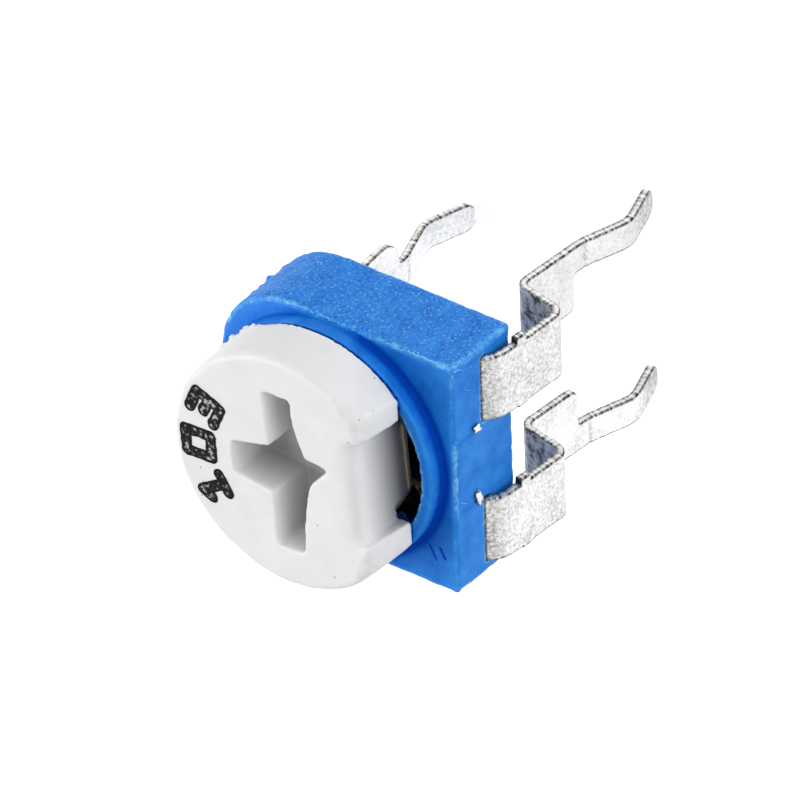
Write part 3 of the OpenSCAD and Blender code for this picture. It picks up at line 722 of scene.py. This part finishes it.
def lead(name, side, reach, row, start_z, inner, edges_at, material):
    """A lead as one bent strip. side is -1 for the row at -Y and 1 for the one at +Y; inner is where
    the strip starts. edges_at gives both edges' X for a place (out, z, distance past the shoulder,
    distance to the tip). The press sheared the tie bar off from +X, so its stub is higher there.
    It marks the sheared edges, dark lines beside them and at the stub, a painted contact shadow
    where the strip leaves the housing, the press's marks near the housing and at the kink, a painted
    reflection darkening the tip and another on the inner face down to the fold, and the distance
    along the strip from its start."""
    begin, steps = lead_steps(reach, row, start_z)
    steps = [[begin - inner, 0, 0]] + steps
    ends = np.cumsum([length + abs(math.radians(turn)) * r for length, r, turn in steps])
    total, fold_end, kink_at, knee_at = ends[-1], ends[3], ends[4] - 0.02, ends[5] - 0.30

    def find(z, low, high):
        """Distance along the strip at which it comes down to a height."""
        for _ in range(40):
            mid = (low + high) / 2
            below = start_z - walk(steps, inner, mid)[0][1] < z
            low, high = (low, mid) if below else (mid, high)
        return low

    shoulder = find(0.0, 4.0, total)
    tie_top, tie_low = find(TIE_TOP, 2.0, total), find(TIE_LOW, 2.0, total)
    # cross sections lie close at the shoulder, the stub and the tip, and STATION apart elsewhere
    cuts = [shoulder + d for d in np.linspace(-WIPER_SHOULDER_R - 0.01, NECK_R, 48)]
    cuts += [shoulder - 0.001, shoulder + 0.001]
    cuts += [t + d for t in (tie_top, tie_low) for d in (-0.03, -0.015, 0.0, 0.015, 0.03)]
    cuts += [total - d for d in np.linspace(0, TIP_R + 0.02, 16)]
    cuts += list(np.linspace(0, total, int(total / STATION)))
    stations = sorted(set(round(float(s), 5) for s in cuts if 0 <= s <= total))
    # each lead gets an unevenness of its own
    seed = Vector((side * 7.3, name.count("1") * 3.1, 0.0))
    vertices, faces = [], []
    values = {"shear": [], "arris": [], "handled_and_shade": [], "painted_reflection": [], "along": []}
    for s in stations:
        (out, down), h = walk(steps, inner, s)
        z, slope = start_z - down, math.radians(h)
        low, high = edges_at(out, z, s - shoulder, total - s)
        if tie_top <= s <= tie_low:
            low, high = low - TIE_SMALL, high + TIE_HIGH
        # inside the housing the sheet keeps its full size, and outside its edges and faces are uneven
        bare = clamp((out - reach) / 0.1) if s < begin + 1 else 1.0
        low += bare * (SHEAR_LEAST + SHEAR_MORE * abs(noise.noise(Vector((s * 3.1, 0.0, 1.0)) + seed)))
        high -= bare * (SHEAR_LEAST + SHEAR_MORE * abs(noise.noise(Vector((s * 3.1, 5.0, 2.0)) + seed)))
        # the press marks the strip at its slit and at the kink, and the tip is painted darker as a painted
        # reflection, most on the row at -Y
        press = max(0.3 if s < fold_end else 0.0, 1 - max(0.0, s - begin + inner) / 1.5)
        dent = 0.7 * max(0.0, 1 - abs(s - kink_at) / 0.11)
        tip_shade = (0.65 if side < 0 else 0.15) * clamp((s - knee_at) / 0.7)
        # the painted reflection on the inner face fades out just past the fold
        reflection_fade = clamp((fold_end + 0.1 - s) / 0.6)
        ring = cross_section(low, high)
        for x, n, cut, line in ring:
            n *= 1 - bare * 0.10 * abs(noise.noise(Vector((s * 1.3, x * 1.3, 9.0)) + seed))
            place = out + n * math.sin(slope)
            # a painted contact shadow where the strip leaves the housing, and dark lines where the stub was
            # sheared
            at_slit = -0.1 < place - reach < 0.03 and z > STANDOFF
            at_tie = cut and min(abs(s - tie_top), abs(s - tie_low)) < 0.035
            values["shear"].append(cut)
            values["arris"].append(1 if at_slit or at_tie else line)
            values["handled_and_shade"].append(max(press, dent, tip_shade))
            values["painted_reflection"].append(reflection_fade if n < 0 and not cut else 0.0)
            values["along"].append(s)
            vertices.append((x, side * place, z + n * math.cos(slope)))
        if len(vertices) > len(ring):
            faces += skin(len(vertices) - 2 * len(ring), len(vertices) - len(ring), len(ring))
    faces.append(tuple(range(len(ring))))
    faces.append(tuple(range(len(vertices) - len(ring), len(vertices))))
    made = to_object(name, vertices, faces, material)
    mark(made.data, **values)
    made.data.set_sharp_from_angle(angle=SHARP)
    return made


def shoulder_edge(past, tip, blade, pin, r):
    """X of the -X edge, that steps in from blade to pin at the shoulder, with a round corner of
    radius r above the step, a fillet below it and a round corner at the tip."""
    x = blade + quarter(-past, r) if past < 0 else pin - quarter(past, NECK_R)
    return x + quarter(tip, TIP_R)


def end_edges(out, z, past, tip):
    """Both edges of the end lead at +X: its round tab in the housing, then its blade and pin."""
    if past < -3 and z > FACE_Z - SLIT_DEPTH - LEAD_T:
        if out < EYE_OUT:
            half = math.sqrt(max(0.0, TAB_R ** 2 - (EYE_OUT - out) ** 2)) + 0.01
            return EYE_X - half, EYE_X + half
        if out < EYE_OUT + TAB_FLARE:
            k = (out - EYE_OUT) / TAB_FLARE
            return (1 - k) * (EYE_X - TAB_R) + k * BLADE_IN, (1 - k) * (EYE_X + TAB_R) + k * BLADE_OUT
    low = shoulder_edge(past, tip, BLADE_IN, PIN_X - PIN_HALF, SHOULDER_R)
    return low, BLADE_OUT - quarter(tip, TIP_R)


def mirrored_end_edges(*place):
    low, high = end_edges(*place)
    return -high, -low


def wiper_edges(out, z, past, tip):
    """Both edges of the wiper's lead, whose shoulders are alike."""
    low = shoulder_edge(past, tip, -WIPER_HALF, -PIN_HALF, WIPER_SHOULDER_R)
    return low, -low


def flat_ring(name, r_in, r_out, z_low, z_high, material):
    """A flat ring about the axis."""
    vertices, faces, count = [], [], 64
    for i in range(count):
        c, s = math.cos(2 * math.pi * i / count), math.sin(2 * math.pi * i / count)
        for r, z in ((r_in, z_low), (r_out, z_low), (r_out, z_high), (r_in, z_high)):
            vertices.append((r * c, r * s, z))
        faces += skin(4 * i, 4 * ((i + 1) % count), 4)
    made = to_object(name, vertices, faces, material)
    made.data.set_sharp_from_angle(angle=SHARP)
    return made


# ---------------------------------------------------------------- print

# Plain stroke figures, 0.8 mm wide and 1 mm high about their middle
FIGURES = {
    "0": [((-0.3, -0.36), (-0.3, 0.36)), ((-0.3, 0.36), (0.3, 0.36)),
        ((0.3, 0.36), (0.3, -0.36)), ((0.3, -0.36), (-0.3, -0.36))],
    "1": [((0.05, -0.36), (0.05, 0.36)), ((0.05, 0.36), (-0.2, 0.2)), ((-0.2, -0.36), (0.3, -0.36))],
    "3": [((-0.28, 0.36), (0.28, 0.36)), ((0.28, 0.36), (0.28, -0.36)),
        ((0.28, -0.36), (-0.28, -0.36)), ((-0.12, 0.0), (0.28, 0.0))],
}
STROKE_HALF = 0.15
INK_TOP, INK_FOOT = TOP_Z - 0.001, TOP_Z - 0.02


def stroke_distance(p, strokes):
    """Signed distance from a point to thick strokes: below zero is inside."""
    best = math.inf
    for (ax, ay), (bx, by) in strokes:
        dx, dy = bx - ax, by - ay
        k = clamp(((p[0] - ax) * dx + (p[1] - ay) * dy) / (dx * dx + dy * dy))
        best = min(best, math.hypot(p[0] - ax - k * dx, p[1] - ay - k * dy) - STROKE_HALF)
    return best


def figure(name, character, x, y, turn, material):
    """One printed figure on the rotor's face: a film of ink made of small cells, whose outer
    vertices slide onto an uneven outline. It marks rim, 1 at the outline and 0 inside."""
    cell, wobble, rim_width, delta = 0.02, 0.022, 0.09, 0.002
    span = int(0.62 / cell)
    low, high, vertices, faces, rim = {}, {}, [], [], []
    c, s = math.cos(turn), math.sin(turn)

    def field(px, py):
        uneven = noise.noise(Vector((px * 6 + x, py * 6 + y, 3.0))) * wobble
        return stroke_distance((px, py), FIGURES[character]) + uneven

    def corner(i, j, level, z):
        if (i, j) not in level:
            px, py = i * cell, j * cell
            d = field(px, py)
            if abs(d) < cell:
                gx = (field(px + delta, py) - field(px - delta, py)) / (2 * delta)
                gy = (field(px, py + delta) - field(px, py - delta)) / (2 * delta)
                px, py = px - gx * d, py - gy * d
            level[(i, j)] = len(vertices)
            vertices.append((x + (c * px - s * py), y + (s * px + c * py), z))
            rim.append(clamp(1 + d / rim_width))
        return level[(i, j)]

    inked = {(i, j) for i in range(-span, span) for j in range(-span, span)
        if field((i + 0.5) * cell, (j + 0.5) * cell) < 0}
    for i, j in inked:
        around = [(i, j), (i + 1, j), (i + 1, j + 1), (i, j + 1)]
        top = [corner(*at, high, INK_TOP) for at in around]
        bottom = [corner(*at, low, INK_FOOT) for at in around]
        faces += [tuple(top), tuple(reversed(bottom))]
        for k, (di, dj) in enumerate(((0, -1), (1, 0), (0, 1), (-1, 0))):
            if (i + di, j + dj) not in inked:
                n = (k + 1) % 4
                faces.append((bottom[k], bottom[n], top[n], top[k]))
    made = to_object(name, vertices, faces, material, smooth=False)
    mark(made.data, rim=rim)
    return made


# ---------------------------------------------------------------- build

blue = spark_eroded_pbt()
white = white_pbt()
tin = tin_plate()
bronze = spring_bronze()
board = paper_phenolic()
carbon = carbon_film()
brass = rolled_brass()
ink = pad_ink()

for name, material in (("wiper", bronze), ("element", board), ("track", carbon),
        ("eyelet_1", brass), ("eyelet_3", brass)):
    mesh = nodes[name].data
    mesh.materials.clear()
    mesh.materials.append(material)

housing = soften("housing", "housing_moulding", 0.05, 2, shape_housing, blue)
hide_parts("housing")
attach(housing, "body")

# fins of flash: path, lean and height. The one round the face runs from the big corner at +X, bulges
# inwards beside the collar, and ends short of the small corner.
side, front = BODY_HALF, -BODY_FRONT
corner_at = BODY_HALF - BIG_CORNER_R
round_corner = [(corner_at + BIG_CORNER_R * math.cos(a), corner_at + BIG_CORNER_R * math.sin(a), FACE_Z)
    for a in (0.26, 0.2, 0.14, 0.07, 0.0)]
by_collar = [(side - sag, y, FACE_Z) for sag, y in
    ((0.0, -0.2), (0.03, -0.45), (0.08, -0.8), (0.1, -1.05), (0.04, -1.25), (0.0, -1.35))]
fins = (
    ("flash_face", round_corner + by_collar + [(side, front + 0.16, FACE_Z)], (1, 0, 1), 0.035),
    ("flash_corner", [(side - 0.03, front + 0.03, FACE_Z - 0.08), (side - 0.03, front + 0.03, 4.2)],
        (1, -1, 0), 0.03),
    ("flash_pad_1", [(2.79, front - 0.03, 4.87), (3.10, front - 0.03, 5.68)], (0, -1, 0), 0.03),
    ("flash_pad_3", [(-1.06, front - 0.03, 5.0), (-0.60, front - 0.03, 5.68)], (0, -1, 0), 0.03),
    ("flash_scar", [(2.48, front - 0.02, 5.33), (2.3, front - 0.02, 5.2), (2.1, front - 0.02, 4.92)],
        (0, -1, 0), 0.02),
)
for name, path, lean, height in fins:
    made = flash(name, path, lean, height, blue)
    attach(made, "body")
for name, place, size in (("sliver_1", (1.10, front - 0.05, 4.94), (0.09, 0.08, 0.12)),
        ("sliver_3", (-0.86, front - 0.05, 4.97), (0.21, 0.08, 0.08))):
    made = sliver(name, place, size, tin)
    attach(made, "body")

rotor = soften("rotor", "rotor_moulding", 0.045, 3, shape_rotor, white)
place, _, edges = points_of(rotor.data)
mark(rotor.data, shelter=spread(rotor_shelter(place / MM), edges, 2))
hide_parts("rotor")
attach(rotor, "rotor")

end_z = FACE_Z - SLIT_DEPTH - LEAD_T / 2
for number, edges_at in (("1", end_edges), ("3", mirrored_end_edges)):
    made = lead("end_lead_strip_" + number, -1, BODY_FRONT, FRONT_ROW, end_z, EYE_OUT - TAB_R,
        edges_at, tin)
    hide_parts("end_lead_" + number)
    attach(made, "body")

wiper_z = FACE_Z - SLIT_DEPTH - LEAD_T - BOARD_T - LEAD_T / 2
strip = lead("wiper_lead_strip", 1, BODY_REAR, REAR_ROW, wiper_z, RING_START, wiper_edges, tin)
ring = flat_ring("collector_ring", RING_IN, RING_OUT, wiper_z - LEAD_T / 2, wiper_z + LEAD_T / 2, tin)
for made in (strip, ring):
    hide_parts("wiper_lead")
    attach(made, "body")

# figures along the rotor's rim, opposite its pocket, with their tops outwards: the angle from the
# end leads' side towards +X, and the distance from the axis
for character, angle, out in (("1", 212.0, 2.36), ("0", 183.0, 2.42), ("3", 156.5, 2.4)):
    a = math.radians(angle)
    x, y = out * math.sin(a), -out * math.cos(a)
    made = figure("figure_" + character, character, x, y, math.atan2(y, x) - math.pi / 2, ink)
    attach(made, "rotor")


# ---------------------------------------------------------------- stage, lights and camera

floor_half, floor_z = 2.0, -(PIN_REACH + 0.04) * MM
floor_mesh = bpy.data.meshes.new("floor")
floor_mesh.from_pydata([(-floor_half, -floor_half, floor_z), (floor_half, -floor_half, floor_z),
    (floor_half, floor_half, floor_z), (-floor_half, floor_half, floor_z)], [], [(0, 1, 2, 3)])
floor_mesh.materials.append(paper_sweep())
floor = new_object("floor", floor_mesh)

world = bpy.data.worlds.new("studio")
bpy.context.scene.world = world
world.use_nodes = True
tree = world.node_tree
tree.nodes.clear()
dim = add(tree, "Background", {"Color": linear("#FFFFFF"), "Strength": SKY})
full = add(tree, "Background", {"Color": linear("#FFFFFF"), "Strength": 1.0})
both = add(tree, "MixShader", {0: seen_by_eye(tree), 1: dim, 2: full})
add(tree, "OutputWorld", {"Surface": both})


LAMP_DISTANCE = 0.60


def softbox(name, direction, width, power):
    """A square area lamp that looks at the part from a direction. Its width is in metres."""
    data = bpy.data.lights.new(name, "AREA")
    data.shape = "SQUARE"
    data.size = width
    data.energy = power
    lamp = new_object(name, data)
    back = Vector(direction).normalized()
    lamp.location = Vector((0, 0, 4 * MM)) + back * LAMP_DISTANCE
    lamp.rotation_euler = back.to_track_quat("Z", "Y").to_euler()
    lamp.visible_camera = False


# The lamps are named as the frame shows them: the main one stands over the housing's +Y side, the
# second faces its -Y side with the end leads, and the weakest faces its +X side.
softbox("left_box", (-0.10, 0.68, 0.73), 0.40, 2.46)
softbox("right_box", (0.35, -0.88, 0.32), 0.32, 1.24)
softbox("top_box", (0.95, -0.05, 0.30), 0.36, 0.54)

# The camera looks with a long lens, rolled so that +X is up in the frame. It aims a little to the
# right of the housing's face and above it in the frame, so that the leads fit in.
DISTANCE, VIEW_WIDTH = 0.80, 18.38 * MM
AIM_RIGHT, AIM_UP = 1.533, 0.742
SENSOR = 36.0
right = Vector((-0.0271, -0.8017, -0.5971)).normalized()
back = right.cross(Vector((0.8102, 0.3323, -0.4829))).normalized()
up = back.cross(right)
aim = (Vector((0, 0, FACE_Z)) + right * AIM_RIGHT + up * AIM_UP) * MM
camera_data = bpy.data.cameras.new("camera")
camera_data.sensor_width = SENSOR
camera_data.lens = SENSOR / VIEW_WIDTH * DISTANCE
camera_data.clip_start = 0.05
camera_data.clip_end = 20.0
camera = new_object("camera", camera_data)
turn = Matrix((right, up, back)).transposed().to_4x4()
camera.matrix_world = Matrix.Translation(aim + back * DISTANCE) @ turn
bpy.context.scene.camera = camera

bpy.context.scene.view_settings.view_transform = "Standard"
